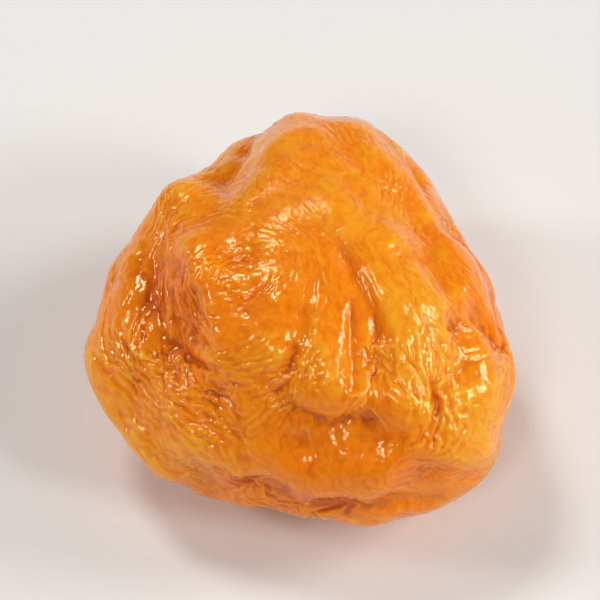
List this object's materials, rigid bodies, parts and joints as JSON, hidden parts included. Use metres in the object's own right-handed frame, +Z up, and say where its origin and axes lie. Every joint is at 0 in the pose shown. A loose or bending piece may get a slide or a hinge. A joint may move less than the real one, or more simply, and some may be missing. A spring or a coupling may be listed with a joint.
{
  "type": "prune",
  "caption": "Whole soft-dried plum with wrinkled, glossy amber skin, a rounded triangular outline, a small tip, a stem hollow and a flattened underside.",
  "frame": {"origin": "on the surface that the fruit lies on, under the middle of its bounding box", "axes": "+Y along the fruit's length, towards its stem end; +X towards its small tip; +Z up, away from the resting spot"},
  "size_m": [0.0398, 0.0426, 0.0276],
  "materials": {
    "skin": "glossy wrinkled fruit skin, moist and a little translucent"
  },
  "bodies": {
    "root": {"prune": "skin"}
  },
  "joints": []
}
